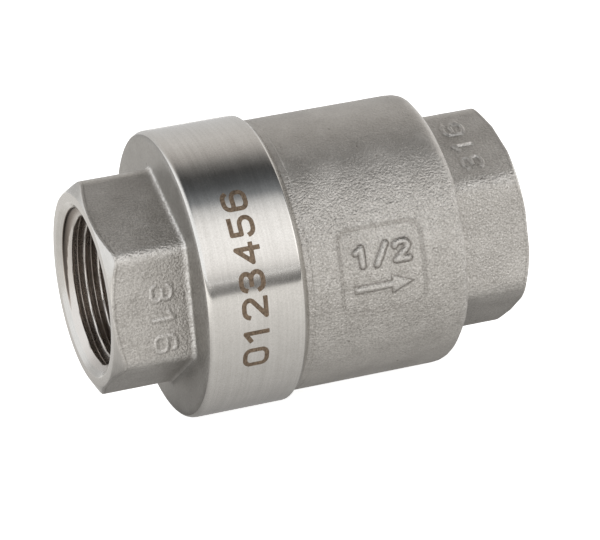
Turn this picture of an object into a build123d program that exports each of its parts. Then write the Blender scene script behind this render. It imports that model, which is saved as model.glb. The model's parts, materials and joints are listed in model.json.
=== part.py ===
"""Inline spring check valve, two-piece stainless body, female 1/2 inch pipe threads.

The flow runs along +X. The origin is the centre of the inlet face, +Z is up and the
cast flow-arrow panel faces -Y. All lengths are in millimetres.
"""

from build123d import *
import math
import os

# ---------------------------------------------------------------- driving dimensions
# Lengths along the flow axis, measured from the inlet face
total_length = 55.9
inlet_hex_length = 10.4
collar_end_x = 23.9
shoulder_x = 45.9

# Outside radii
body_radius = 17.63
collar_radius = 18.57
collar_front_fillet = 1.1
collar_back_chamfer = 0.9
shoulder_fillet = 2.06
hex_root_fillet = 0.7

# Wrench hexagons: width across flats, corner rounding, angle of one corner about +X from +Y
inlet_hex_flats = 25.0
inlet_hex_corner = 1.35
inlet_hex_angle = 34.5
outlet_hex_flats = 25.4
outlet_hex_corner = 2.2
outlet_hex_angle = 30.0
inlet_face_radius = 12.44
outlet_face_radius = 12.9
hex_chamfer_angle = 30.0

# Pipe threads, 1/2 inch parallel, made as plain bores at the thread's minor radius
pipe_minor_radius = 18.631 / 2
countersink_radius = 11.2
inlet_bore_end_x = 12.8
outlet_bore_start_x = 42.8

# Screwed joint between body and end cap, M33 x 1.5
joint_pitch = 1.5
joint_major_radius = 16.5
joint_minor_radius = 15.6
joint_clearance = 0.05
joint_turns = 3
joint_first_ridge_x = 18.4
joint_relief_x = 22.2
spigot_end_x = 17.0

# Flow passage
throat_radius = 8.0
seat_face_x = 16.0
chamber_radius = 13.2
guide_step_x = 37.0
guide_step_radius = 12.2
chamber_end_x = 38.6
outlet_throat_radius = 8.6
outlet_throat_x = 41.6

# Marking panel on the body
panel_centre_x = 34.1
panel_centre_z = -0.2
panel_side = 11.0
panel_corner = 1.8
panel_depth = 0.28
arrow_tail_x = 30.2
arrow_neck_x = 35.25
arrow_tip_x = 37.8
arrow_z = -2.45
arrow_shaft_width = 0.9
arrow_head_width = 2.2

# Body gasket
gasket_inner_radius = 13.4
gasket_outer_radius = 15.4

# Moving disc, its stem and its seal
travel = 4.5
seat_gap = 0.02
disc_radius = 10.8
disc_lip_x = 16.5
seal_thickness = 1.2
seal_radius = 9.95
disc_back_x = 19.2
spring_boss_radius = 5.9
spring_boss_x = 20.8
stem_radius = 2.5
stem_spigot_radius = 3.0
stem_shoulder_radius = 4.2
stem_stop_x = 29.18
stem_end_x = 38.2
stem_bore_clearance = 0.05
retainer_radius = 7.2
retainer_thickness = 1.0
lock_washer_radius = 3.6
lock_washer_thickness = 0.45
screw_head_radius = 3.2
screw_head_height = 1.6
screw_radius = 1.95
screw_hole_radius = 2.0
screw_length = 8.0
screw_socket_flats = 2.5
screw_socket_depth = 0.9

# Return spring
spring_wire_radius = 0.4
spring_mean_radius = 6.8
spring_turns = 7

# Stem guide
guide_front_x = 34.0
guide_rim_radius = 13.15
guide_rim_inner_radius = 11.2
guide_hub_radius = 4.9
guide_arm_width = 2.0
guide_arm_count = 3
bush_outer_radius = 3.7
bush_flange_radius = 4.6
bush_flange_thickness = 0.3
spring_washer_thickness = 0.7
spring_washer_inner_radius = 5.1
spring_washer_outer_radius = 7.8
ring_thickness = 1.1
ring_outer_radius = 13.75
ring_inner_radius = 11.9
ring_groove_radius = 13.85
ring_gap_width = 5.0

os.makedirs("parts", exist_ok=True)


# ---------------------------------------------------------------- shared profiles
def hexagon(flats, corner, angle):
    """A wrench hexagon with rounded corners, square to the flow axis at the origin."""
    with BuildSketch(Plane.YZ) as outline:
        RegularPolygon(flats / 2, 6, major_radius=False, rotation=angle)
        fillet(outline.vertices(), corner)
    return outline.sketch


def face_chamfer(face_x, face_radius, inward):
    """The half profile left by turning the 30 degree chamfer; inward is +1 or -1 along X."""
    rise = face_radius
    run = rise * math.tan(math.radians(hex_chamfer_angle))
    with BuildSketch(Plane.XY) as profile:
        with BuildLine():
            Polyline(
                (face_x, 0),
                (face_x, face_radius),
                (face_x + inward * run, face_radius + rise),
                (face_x + inward * 2 * run, face_radius + rise),
                (face_x + inward * 2 * run, 0),
                close=True,
            )
        make_face()
    return profile.sketch


def tube(start_x, end_x, inner_radius, outer_radius):
    """The half profile of a plain ring about the flow axis."""
    with BuildSketch(Plane.XY) as profile:
        with Locations(((start_x + end_x) / 2, (inner_radius + outer_radius) / 2)):
            Rectangle(end_x - start_x, outer_radius - inner_radius)
    return profile.sketch


def ring_grooves(first_x, count, pitch, mouth_radius, bottom_radius, mouth_half, bottom_half):
    """Half profiles of evenly spaced V grooves that open at mouth_radius."""
    over = 0.2 if bottom_radius < mouth_radius else -0.2
    with BuildSketch(Plane.XY) as profile:
        for turn in range(count):
            x = first_x + turn * pitch
            with BuildLine():
                Polyline(
                    (x - mouth_half, mouth_radius + over),
                    (x - mouth_half, mouth_radius),
                    (x - bottom_half, bottom_radius),
                    (x + bottom_half, bottom_radius),
                    (x + mouth_half, mouth_radius),
                    (x + mouth_half, mouth_radius + over),
                    close=True,
                )
            make_face()
    return profile.sketch


def countersink(face_x, inward):
    """Half profile of the 45 degree cone that leads into a pipe thread."""
    depth = countersink_radius - pipe_minor_radius
    with BuildSketch(Plane.XY) as profile:
        with BuildLine():
            Polyline(
                (face_x, 0),
                (face_x, countersink_radius),
                (face_x + inward * depth, pipe_minor_radius),
                (face_x + inward * depth, 0),
                close=True,
            )
        make_face()
    return profile.sketch


joint_depth = joint_major_radius - joint_minor_radius
joint_slope = math.tan(math.radians(30))
male_crest_half = 0.15
female_root_half = male_crest_half + 0.04

# ---------------------------------------------------------------- end cap (inlet)
with BuildPart() as end_cap:
    extrude(hexagon(inlet_hex_flats, inlet_hex_corner, inlet_hex_angle), inlet_hex_length + 1)
    revolve(face_chamfer(0, inlet_face_radius, 1), axis=Axis.X, mode=Mode.INTERSECT)
    revolve(tube(inlet_hex_length, collar_end_x, 0, collar_radius), axis=Axis.X)
    fillet(
        end_cap.edges()
        .filter_by(GeomType.CIRCLE)
        .filter_by(lambda edge: math.isclose(edge.radius, collar_radius, abs_tol=0.01))
        .sort_by(Axis.X)[0],
        collar_front_fillet,
    )
    chamfer(end_cap.faces().sort_by(Axis.X)[-1].edges(), collar_back_chamfer)
    fillet(
        end_cap.edges()
        .filter_by_position(Axis.X, inlet_hex_length - 0.01, inlet_hex_length + 0.01)
        .filter_by(lambda edge: edge.length < inlet_hex_flats),
        hex_root_fillet,
    )
    # Inlet bore, throat and seat face
    revolve(tube(-1, inlet_bore_end_x, 0, pipe_minor_radius), axis=Axis.X, mode=Mode.SUBTRACT)
    revolve(countersink(0, 1), axis=Axis.X, mode=Mode.SUBTRACT)
    revolve(
        tube(inlet_bore_end_x, seat_face_x + 1, 0, throat_radius), axis=Axis.X, mode=Mode.SUBTRACT
    )
    # Socket that the body screws into
    revolve(
        tube(seat_face_x, collar_end_x + 1, 0, joint_minor_radius + 0.08),
        axis=Axis.X,
        mode=Mode.SUBTRACT,
    )
    revolve(
        ring_grooves(
            joint_first_ridge_x,
            joint_turns,
            joint_pitch,
            joint_minor_radius + 0.08,
            joint_major_radius + joint_clearance,
            female_root_half + (joint_depth - 0.03) * joint_slope,
            female_root_half,
        ),
        axis=Axis.X,
        mode=Mode.SUBTRACT,
    )
end_cap.part.label = "end_cap"
export_step(end_cap.part, "parts/end_cap.step")

# ---------------------------------------------------------------- body (outlet)
with BuildPart() as body:
    revolve(tube(collar_end_x, shoulder_x, 0, body_radius), axis=Axis.X)
    fillet(body.faces().sort_by(Axis.X)[-1].edges(), shoulder_fillet)
    # Marking panel with the raised flow arrow, sunk into the front of the barrel
    with BuildSketch(Plane.XZ.offset(body_radius / 2)) as panel_outline:
        with Locations((panel_centre_x, panel_centre_z)):
            RectangleRounded(panel_side, panel_side, panel_corner)
        with BuildLine():
            Polyline(
                (arrow_tail_x, arrow_z - arrow_shaft_width / 2),
                (arrow_neck_x, arrow_z - arrow_shaft_width / 2),
                (arrow_neck_x, arrow_z - arrow_head_width / 2),
                (arrow_tip_x, arrow_z),
                (arrow_neck_x, arrow_z + arrow_head_width / 2),
                (arrow_neck_x, arrow_z + arrow_shaft_width / 2),
                (arrow_tail_x, arrow_z + arrow_shaft_width / 2),
                close=True,
            )
        make_face(mode=Mode.SUBTRACT)
    with BuildPart(mode=Mode.PRIVATE) as panel_cutter:
        extrude(panel_outline.sketch, body_radius)
        revolve(
            tube(collar_end_x, shoulder_x, body_radius - panel_depth, body_radius + 5),
            axis=Axis.X,
            mode=Mode.INTERSECT,
        )
    add(panel_cutter.part, mode=Mode.SUBTRACT)
    # Outlet hexagon
    with BuildPart(mode=Mode.PRIVATE) as outlet_hex:
        extrude(
            hexagon(outlet_hex_flats, outlet_hex_corner, outlet_hex_angle).moved(
                Location((shoulder_x - 1, 0, 0))
            ),
            total_length - shoulder_x + 1,
        )
        revolve(face_chamfer(total_length, outlet_face_radius, -1), axis=Axis.X, mode=Mode.INTERSECT)
    add(outlet_hex.part)
    # Spigot with the male joint thread
    revolve(tube(spigot_end_x, collar_end_x, 0, joint_minor_radius), axis=Axis.X)
    revolve(
        tube(joint_first_ridge_x - joint_pitch / 2, joint_relief_x, 0, joint_major_radius),
        axis=Axis.X,
    )
    revolve(
        ring_grooves(
            joint_first_ridge_x - joint_pitch / 2,
            joint_turns + 1,
            joint_pitch,
            joint_major_radius,
            joint_minor_radius,
            joint_pitch / 2 - male_crest_half,
            joint_pitch / 2 - male_crest_half - joint_depth * joint_slope,
        ),
        axis=Axis.X,
        mode=Mode.SUBTRACT,
    )
    # Chamber, guide step, retaining ring groove, outlet cone and outlet thread
    with BuildSketch(Plane.XY):
        with BuildLine():
            Polyline(
                (spigot_end_x - 1, 0),
                (spigot_end_x - 1, chamber_radius),
                (guide_front_x - ring_thickness, chamber_radius),
                (guide_front_x - ring_thickness, ring_groove_radius),
                (guide_front_x, ring_groove_radius),
                (guide_front_x, chamber_radius),
                (guide_step_x, chamber_radius),
                (guide_step_x, guide_step_radius),
                (chamber_end_x, guide_step_radius),
                (outlet_throat_x, outlet_throat_radius),
                (outlet_bore_start_x, outlet_throat_radius),
                (outlet_bore_start_x, pipe_minor_radius),
                (total_length + 1, pipe_minor_radius),
                (total_length + 1, 0),
                close=True,
            )
        make_face()
    revolve(axis=Axis.X, mode=Mode.SUBTRACT)
    revolve(countersink(total_length, -1), axis=Axis.X, mode=Mode.SUBTRACT)
body.part.label = "body"
export_step(body.part, "parts/body.step")

# ---------------------------------------------------------------- body gasket
with BuildPart() as body_gasket:
    revolve(tube(seat_face_x, spigot_end_x, gasket_inner_radius, gasket_outer_radius), axis=Axis.X)
body_gasket.part.label = "body_gasket"
export_step(body_gasket.part, "parts/body_gasket.step")

# ---------------------------------------------------------------- disc and its seal
seal_front_x = seat_face_x + seat_gap
seal_back_x = seal_front_x + seal_thickness

with BuildPart() as disc:
    with BuildSketch(Plane.XY):
        with BuildLine():
            Polyline(
                (seal_back_x, stem_spigot_radius + stem_bore_clearance),
                (seal_back_x, seal_radius + stem_bore_clearance),
                (disc_lip_x, seal_radius + stem_bore_clearance),
                (disc_lip_x, disc_radius - 0.3),
                (disc_lip_x + 0.3, disc_radius),
                (disc_back_x - 0.8, disc_radius),
                (disc_back_x, disc_radius - 0.8),
                (disc_back_x, spring_boss_radius),
                (spring_boss_x - 0.4, spring_boss_radius),
                (spring_boss_x, spring_boss_radius - 0.4),
                (spring_boss_x, stem_spigot_radius + stem_bore_clearance),
                close=True,
            )
        make_face()
    revolve(axis=Axis.X)
disc.part.label = "disc"
export_step(disc.part, "parts/disc.step")

with BuildPart() as disc_seal:
    revolve(
        tube(seal_front_x, seal_back_x, stem_spigot_radius + stem_bore_clearance, seal_radius),
        axis=Axis.X,
    )
disc_seal.part.label = "disc_seal"
export_step(disc_seal.part, "parts/disc_seal.step")

# ---------------------------------------------------------------- seal retainer and its screw
retainer_front_x = seal_front_x - retainer_thickness
lock_washer_front_x = retainer_front_x - lock_washer_thickness
screw_front_x = lock_washer_front_x - screw_head_height

with BuildPart() as seal_retainer:
    revolve(tube(retainer_front_x, seal_front_x, screw_hole_radius + 0.1, retainer_radius), axis=Axis.X)
    chamfer(seal_retainer.faces().sort_by(Axis.X)[0].edges(), 0.3)
seal_retainer.part.label = "seal_retainer"
export_step(seal_retainer.part, "parts/seal_retainer.step")

with BuildPart() as lock_washer:
    revolve(
        tube(lock_washer_front_x, retainer_front_x, screw_hole_radius + 0.1, lock_washer_radius),
        axis=Axis.X,
    )
    # The split of a spring lock washer
    with BuildSketch(Plane.YZ.offset(lock_washer_front_x)):
        with Locations((0, lock_washer_radius)):
            Rectangle(0.5, 2 * lock_washer_radius)
    extrude(amount=lock_washer_thickness, mode=Mode.SUBTRACT)
lock_washer.part.label = "lock_washer"
export_step(lock_washer.part, "parts/lock_washer.step")

with BuildPart() as retainer_screw:
    revolve(tube(screw_front_x, lock_washer_front_x, 0, screw_head_radius), axis=Axis.X)
    fillet(retainer_screw.faces().sort_by(Axis.X)[0].edges(), 0.5)
    revolve(
        tube(lock_washer_front_x, lock_washer_front_x + screw_length, 0, screw_radius),
        axis=Axis.X,
    )
    chamfer(retainer_screw.faces().sort_by(Axis.X)[-1].edges(), 0.4)
    with BuildSketch(Plane.YZ.offset(screw_front_x)):
        RegularPolygon(screw_socket_flats / 2, 6, major_radius=False)
    extrude(amount=screw_socket_depth, mode=Mode.SUBTRACT)
retainer_screw.part.label = "retainer_screw"
export_step(retainer_screw.part, "parts/retainer_screw.step")

# ---------------------------------------------------------------- stem
with BuildPart() as stem:
    with BuildSketch(Plane.XY):
        with BuildLine():
            Polyline(
                (seal_front_x, 0),
                (seal_front_x, stem_spigot_radius),
                (spring_boss_x, stem_spigot_radius),
                (spring_boss_x, stem_shoulder_radius),
                (stem_stop_x - 0.4, stem_shoulder_radius),
                (stem_stop_x, stem_shoulder_radius - 0.4),
                (stem_stop_x, stem_radius),
                (stem_end_x - 0.6, stem_radius),
                (stem_end_x, stem_radius - 0.6),
                (stem_end_x, 0),
                close=True,
            )
        make_face()
    revolve(axis=Axis.X)
    # Tapped hole for the retainer screw
    tapped_depth = screw_length - seat_gap
    revolve(
        tube(seal_front_x - 1, seal_front_x + tapped_depth, 0, screw_hole_radius),
        axis=Axis.X,
        mode=Mode.SUBTRACT,
    )
stem.part.label = "stem"
export_step(stem.part, "parts/stem.step")

# ---------------------------------------------------------------- return spring
spring_start_x = disc_back_x + spring_wire_radius + 0.02
spring_end_x = guide_front_x - spring_washer_thickness - spring_wire_radius - 0.02

with BuildPart() as spring:
    spring_length = spring_end_x - spring_start_x
    with BuildLine() as coil:
        Helix(
            spring_length / spring_turns,
            spring_length,
            spring_mean_radius,
            center=(spring_start_x, 0, 0),
            direction=(1, 0, 0),
        )
    with BuildSketch(Plane(coil.line @ 0, z_dir=coil.line % 0)):
        Circle(spring_wire_radius)
    sweep(is_frenet=True)
spring.part.label = "spring"
export_step(spring.part, "parts/spring.step")

# ---------------------------------------------------------------- stem guide, bush and washer
bush_front_x = stem_stop_x + travel + seat_gap
guide_hub_back_x = guide_step_x + 0.4

with BuildPart() as stem_guide:
    revolve(
        tube(guide_front_x, guide_step_x, guide_rim_inner_radius, guide_rim_radius), axis=Axis.X
    )
    with BuildSketch(Plane.YZ.offset(guide_front_x)):
        with PolarLocations((guide_hub_radius + guide_rim_inner_radius) / 2, guide_arm_count, 90):
            Rectangle(guide_rim_inner_radius - guide_hub_radius + 2, guide_arm_width)
    extrude(amount=guide_step_x - guide_front_x)
    revolve(tube(guide_front_x, guide_hub_back_x, 0, guide_hub_radius), axis=Axis.X)
    revolve(
        tube(guide_front_x - 1, guide_hub_back_x + 1, 0, bush_outer_radius),
        axis=Axis.X,
        mode=Mode.SUBTRACT,
    )
stem_guide.part.label = "stem_guide"
export_step(stem_guide.part, "parts/stem_guide.step")

with BuildPart() as guide_bush:
    bush_bore = stem_radius + stem_bore_clearance
    revolve(tube(bush_front_x, guide_hub_back_x, bush_bore, bush_outer_radius), axis=Axis.X)
    revolve(tube(bush_front_x, guide_front_x, bush_bore, bush_flange_radius), axis=Axis.X)
guide_bush.part.label = "guide_bush"
export_step(guide_bush.part, "parts/guide_bush.step")

with BuildPart() as spring_washer:
    revolve(
        tube(
            guide_front_x - spring_washer_thickness,
            guide_front_x,
            spring_washer_inner_radius,
            spring_washer_outer_radius,
        ),
        axis=Axis.X,
    )
spring_washer.part.label = "spring_washer"
export_step(spring_washer.part, "parts/spring_washer.step")

# ---------------------------------------------------------------- retaining ring
with BuildPart() as retaining_ring:
    revolve(
        tube(guide_front_x - ring_thickness, guide_front_x, ring_inner_radius, ring_outer_radius),
        axis=Axis.X,
    )
    # The open gap that lets the ring be squeezed into its groove
    with BuildSketch(Plane.YZ.offset(guide_front_x - ring_thickness)):
        with Locations((0, ring_outer_radius)):
            Rectangle(ring_gap_width, ring_outer_radius - ring_inner_radius + ring_gap_width)
    extrude(amount=ring_thickness, mode=Mode.SUBTRACT)
retaining_ring.part.label = "retaining_ring"
export_step(retaining_ring.part, "parts/retaining_ring.step")
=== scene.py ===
"""Looks for the inline spring check valve: cast and turned steel shells, etched mark, spring, studio."""

import json
import math

import bpy
import numpy as np
from mathutils import Matrix, Vector


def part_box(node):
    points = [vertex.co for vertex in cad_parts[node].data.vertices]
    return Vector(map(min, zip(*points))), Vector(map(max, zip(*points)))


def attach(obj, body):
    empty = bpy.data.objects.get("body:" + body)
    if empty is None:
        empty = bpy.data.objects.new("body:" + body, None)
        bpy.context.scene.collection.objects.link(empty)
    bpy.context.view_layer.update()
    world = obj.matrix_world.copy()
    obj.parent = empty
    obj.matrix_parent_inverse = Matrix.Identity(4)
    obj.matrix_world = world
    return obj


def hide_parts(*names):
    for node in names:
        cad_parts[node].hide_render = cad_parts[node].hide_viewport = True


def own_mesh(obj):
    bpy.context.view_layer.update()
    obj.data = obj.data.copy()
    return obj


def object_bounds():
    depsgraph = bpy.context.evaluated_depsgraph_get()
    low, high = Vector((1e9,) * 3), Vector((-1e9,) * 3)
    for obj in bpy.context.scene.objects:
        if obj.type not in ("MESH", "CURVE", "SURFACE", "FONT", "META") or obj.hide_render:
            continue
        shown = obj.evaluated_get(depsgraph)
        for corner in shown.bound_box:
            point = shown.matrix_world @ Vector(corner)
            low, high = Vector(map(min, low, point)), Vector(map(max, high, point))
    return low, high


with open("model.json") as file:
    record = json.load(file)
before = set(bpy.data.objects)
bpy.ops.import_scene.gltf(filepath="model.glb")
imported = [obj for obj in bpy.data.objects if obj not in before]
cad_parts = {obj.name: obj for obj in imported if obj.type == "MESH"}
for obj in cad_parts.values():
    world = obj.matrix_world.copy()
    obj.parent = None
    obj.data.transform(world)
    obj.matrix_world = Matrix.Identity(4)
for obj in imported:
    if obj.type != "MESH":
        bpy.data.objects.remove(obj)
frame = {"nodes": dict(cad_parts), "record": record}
cad_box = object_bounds()

MM = 0.001

# ------------------------------------------------------------------ sizes read from the frame, in mm
cap_hi = Vector(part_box("end_cap")[1]) / MM
body_lo, body_hi = (Vector(c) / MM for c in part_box("body"))
collar_radius = cap_hi.z
collar_end_x = cap_hi.x
body_radius = body_hi.z
total_length = body_hi.x
spigot_end_x = body_lo.x

# ------------------------------------------------------------------ sizes shared with the CAD design, in mm
inlet_hex_length = 10.4
shoulder_x = 45.9
shoulder_fillet = 2.06
collar_front_fillet = 1.1
collar_back_chamfer = 0.9
inlet_hex = dict(flats=25.0, corner=2.1, angle=34.5)
outlet_hex = dict(flats=25.4, corner=2.9, angle=30.0)
inlet_face_radius = 12.44
outlet_face_radius = 12.9
chamfer_slope = math.tan(math.radians(60))
throat_radius = 8.0
seat_face_x = 16.0
inlet_bore_end_x = 12.8
outlet_bore_start_x = 42.8
outlet_throat_radius = 8.6
outlet_throat_x = 41.6
chamber_radius = 13.2
chamber_end_x = 38.6
guide_front_x = 34.0
guide_step_x = 37.0
guide_step_radius = 12.2
ring_groove_radius = 13.85
ring_thickness = 1.1
joint_bore_radius = 15.68
joint_root_radius = 15.6
joint_crest_radius = 16.5
joint_pitch = 1.5
joint_turns = 3
joint_first_ridge_x = 18.4

# 1/2 inch parallel pipe thread; the shift slides the helix towards the inlet
pipe_pitch = 25.4 / 14
pipe_minor_radius = 18.631 / 2
pipe_major_radius = 20.955 / 2
thread_shift = 0.46
thread_end_gap = 0.4

# Countersink at the mouth of each thread; past the plain depth its rows also carry the thread
mouth_radius = 11.28
countersink_slope = 1.27
countersink_plain_depth = 0.55

# Shallow turned strip on the barrel, next to the collar
strip_width = 0.75
strip_depth = 0.10
strip_slope_width = 0.15

# Marking panel on the barrel: position along X and angle round the axis, 0 at +Y and 90 at the top
panel_x = 34.1
panel_angle = 180.7
panel_half = 5.55
panel_corner = 1.8
panel_depth = 0.15


# ------------------------------------------------------------------ small helpers
def smoothstep(t):
    """Rises smoothly from 0 to 1 as t goes from 0 to 1."""
    t = np.clip(t, 0.0, 1.0)
    return t * t * (3 - 2 * t)


def turn_from(angle, centre):
    """Signed angle from centre, in degrees, between -180 and 180."""
    return (angle - centre + 180.0) % 360.0 - 180.0


def column_angles(base_step, zones):
    """Angles round the axis, spaced base_step apart and closer inside zones of (centre, half width, step)."""
    fine = np.arange(0.0, 360.0, 0.05)
    density = np.full(fine.shape, 1.0 / base_step)
    for centre, half, step in zones:
        past = np.abs(turn_from(fine, centre)) - half
        rise = smoothstep(1.0 - past / 3.0)
        density = np.maximum(density, 1.0 / base_step + (1.0 / step - 1.0 / base_step) * rise)
    total = np.concatenate([[0.0], np.cumsum(density) * 0.05])
    count = int(math.ceil(total[-1]))
    wanted = np.arange(count) / count * total[-1]
    return np.interp(wanted, total, np.append(fine, 360.0))


def hex_radius(angles, flats, corner, angle):
    """Distance from the axis to a hexagon with rounded corners, one corner at the given angle."""
    apothem = flats / 2
    from_flat = np.radians(np.abs(np.abs(turn_from(angles, angle)) % 60.0 - 30.0))
    tangent = math.atan((apothem - corner) * math.tan(math.radians(30)) / apothem)
    centre = (apothem - corner) / math.cos(math.radians(30))
    beta = np.radians(30.0) - from_flat
    flat = apothem / np.cos(from_flat)
    inside = np.maximum(corner**2 - (centre * np.sin(beta)) ** 2, 0.0)
    return np.where(from_flat < tangent, flat, centre * np.cos(beta) + np.sqrt(inside))


class Profile:
    """A closed half section, walked corner by corner, whose points may differ from column to column."""

    def __init__(self, angles):
        self.angles = angles
        self.corners = []

    def to(self, x, radius, fillet=0.0, cuts=1, zone="machined"):
        """Adds a corner; cuts is the number of steps along the straight that follows it."""
        ones = np.ones(len(self.angles))
        point = np.stack([x * ones, radius * ones], axis=1)
        self.corners.append((point, fillet, cuts, zone))

    def rows(self):
        """Rows of (x, radius) and the zone of the band after each row, with every corner rounded."""
        rows, zones = [], []
        count = len(self.corners)
        ends = []
        for i, (point, fillet, cuts, zone) in enumerate(self.corners):
            back = self.corners[i - 1][0] - point
            ahead = self.corners[(i + 1) % count][0] - point
            back_len = np.linalg.norm(back, axis=1, keepdims=True) + 1e-9
            ahead_len = np.linalg.norm(ahead, axis=1, keepdims=True) + 1e-9
            cosine = np.sum(back / back_len * ahead / ahead_len, axis=1, keepdims=True)
            half = np.arccos(np.clip(cosine, -1, 1)) / 2
            reach = fillet / np.tan(np.maximum(half, 1e-3))
            reach = np.minimum(reach, 0.45 * np.minimum(back_len, ahead_len))
            start = point + back / back_len * reach
            finish = point + ahead / ahead_len * reach
            steps = 1 if fillet == 0 else max(3, min(7, int(3 + fillet * 3)))
            arc = []
            for s in range(steps):
                t = s / (steps - 1) if steps > 1 else 0.5
                arc.append((1 - t) ** 2 * start + 2 * t * (1 - t) * point + t**2 * finish)
            ends.append((arc, cuts, zone))
        for i, (arc, cuts, zone) in enumerate(ends):
            before = ends[i - 1][2]
            for s, row in enumerate(arc):
                rows.append(row)
                zones.append(before if s < len(arc) // 2 else zone)
            nxt = ends[(i + 1) % count][0][0]
            for c in range(1, cuts):
                rows.append(arc[-1] + (nxt - arc[-1]) * c / cuts)
                zones.append(zone)
        stacked = np.array(rows)
        return stacked[:, :, 0], stacked[:, :, 1], zones


def new_object(name, verts, faces, materials, face_material=None, sharp_degrees=35.0):
    """A smooth-shaded mesh object from vertices in mm, its normals turned outwards."""
    mesh = bpy.data.meshes.new(name)
    mesh.from_pydata((np.asarray(verts) * MM).tolist(), [], faces)
    for material in materials:
        mesh.materials.append(material)
    if face_material is not None:
        mesh.polygons.foreach_set("material_index", np.asarray(face_material, dtype=np.int32))
    mesh.validate()
    mesh.update()
    if signed_volume(mesh) < 0:
        mesh.flip_normals()
    mesh.shade_smooth()
    mesh.set_sharp_from_angle(angle=math.radians(sharp_degrees))
    piece = bpy.data.objects.new(name, mesh)
    bpy.context.scene.collection.objects.link(piece)
    return piece


def signed_volume(mesh):
    """Enclosed volume; negative when the normals point inwards."""
    mesh.calc_loop_triangles()
    points = np.array([v.co for v in mesh.vertices])
    tris = np.array([t.vertices[:] for t in mesh.loop_triangles])
    a, b, c = points[tris[:, 0]], points[tris[:, 1]], points[tris[:, 2]]
    return float(np.sum(a * np.cross(b, c)) / 6)


def lathe(name, angles, x, radius, zones, zone_materials, wear_and_highlight):
    """A closed shell from rows of points about the flow axis, one material for each zone.

    The wear value is stored on the points for the materials: above 0 rubbed bright, except in the hexagons'
    root fillets and along the barrel's shoulder, where it is a painted highlight, and along the chamfer
    edges, where it is rubbed edge and painted highlight together; below 0 dirt in a crevice.
    """
    count, columns = x.shape
    turn = np.radians(angles)
    verts = np.stack([x, radius * np.cos(turn), radius * np.sin(turn)], axis=2).reshape(-1, 3)
    names = list(zone_materials)
    faces, which = [], []
    for row in range(count):
        below, above = row * columns, ((row + 1) % count) * columns
        index = names.index(zones[row])
        for col in range(columns):
            nxt = (col + 1) % columns
            faces.append((below + col, below + nxt, above + nxt, above + col))
        which += [index] * columns
    piece = new_object(name, verts, faces, list(zone_materials.values()), which, 60.0)
    layer = piece.data.attributes.new("wear_and_highlight", "FLOAT", "POINT")
    layer.data.foreach_set("value", wear_and_highlight.astype(np.float32).ravel())
    return piece


# ------------------------------------------------------------------ numerals and arrow as distance fields
def arc(cx, cy, rx, ry, start, end, steps=10):
    """Points along an elliptical arc, angles in degrees."""
    turn = np.radians(np.linspace(start, end, steps + 1))
    return [(cx + rx * math.cos(t), cy + ry * math.sin(t)) for t in turn]


# Each numeral is a set of strokes in a box 4 wide and 6 high
NUMERALS = {
    "0": [
        arc(1.5, 4.5, 1.5, 1.5, 180, 90)
        + arc(2.5, 4.5, 1.5, 1.5, 90, 0)
        + arc(2.5, 1.5, 1.5, 1.5, 0, -90)
        + arc(1.5, 1.5, 1.5, 1.5, -90, -180)
        + [(0, 4.5)]
    ],
    "1": [[(0.5, 4.6), (2.3, 6), (2.3, 0)]],
    "2": [
        arc(1.5, 4.5, 1.5, 1.5, 165, 90) + arc(2.5, 4.5, 1.5, 1.5, 90, -40) + [(0, 0), (4, 0)]
    ],
    "3": [
        arc(1.5, 4.6, 1.4, 1.4, 165, 90) + arc(2.4, 4.6, 1.4, 1.4, 90, -90) + [(1.3, 3.2)],
        [(1.3, 3.2)]
        + arc(2.4, 1.6, 1.6, 1.6, 90, -90)
        + arc(1.5, 1.5, 1.5, 1.5, -90, -165),
    ],
    "4": [[(3.1, 0), (3.1, 6), (0, 1.8), (4, 1.8)]],
    "5": [
        [(3.7, 6), (0.3, 6), (0.3, 3.4), (2.4, 3.4)]
        + arc(2.4, 1.7, 1.6, 1.7, 90, -90)
        + arc(1.5, 1.5, 1.5, 1.5, -90, -165)
    ],
    "6": [
        arc(2.5, 4.5, 1.4, 1.5, 30, 90)
        + arc(1.5, 4.5, 1.5, 1.5, 90, 180)
        + arc(1.5, 1.5, 1.5, 1.5, 180, 270)
        + arc(2.5, 1.5, 1.5, 1.5, -90, 0)
        + arc(2.5, 2.0, 1.5, 1.5, 0, 90)
        + [(0, 3.5)]
    ],
    "/": [[(0.4, -0.4), (3.6, 6.4)]],
}


def stroke_distance(u, v, strokes, square=False):
    """Distance from each point to the nearest stroke's centre line, with round or square ends."""
    best = np.full(u.shape, 1e9)
    for line in strokes:
        for k, ((ax, ay), (bx, by)) in enumerate(zip(line, line[1:])):
            length = math.hypot(bx - ax, by - ay)
            if length < 1e-6:
                continue
            dx, dy = (bx - ax) / length, (by - ay) / length
            along = (u - ax) * dx + (v - ay) * dy
            across = np.abs((v - ay) * dx - (u - ax) * dy)
            past = np.maximum(np.maximum(-along, along - length), 0.0)
            away = np.hypot(past, across)
            if square:
                open_end = ((k == 0) & (along < 0)) | ((k == len(line) - 2) & (along > length))
                away = np.where(open_end, np.maximum(past, across), away)
            best = np.minimum(best, away)
    return best


def text_distance(u, v, text, width, height, pitch, stroke, square=False):
    """Signed distance to a row of numerals centred on the origin; negative inside the strokes."""
    best = np.full(u.shape, 1e9)
    start = -(len(text) - 1) * pitch / 2 - width / 2
    scale_x, scale_y = (width - stroke) / 4, (height - stroke) / 6
    for i, character in enumerate(text):
        left = start + i * pitch + stroke / 2
        strokes = [
            [(left + px * scale_x, -height / 2 + stroke / 2 + py * scale_y) for px, py in line]
            for line in NUMERALS[character]
        ]
        best = np.minimum(best, stroke_distance(u, v, strokes, square))
    return best - stroke / 2


def rounded_square_distance(u, v, half, corner):
    """Signed distance to a square with rounded corners; negative inside."""
    du, dv = np.abs(u) - half + corner, np.abs(v) - half + corner
    return np.hypot(np.maximum(du, 0), np.maximum(dv, 0)) + np.minimum(np.maximum(du, dv), 0) - corner


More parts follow.
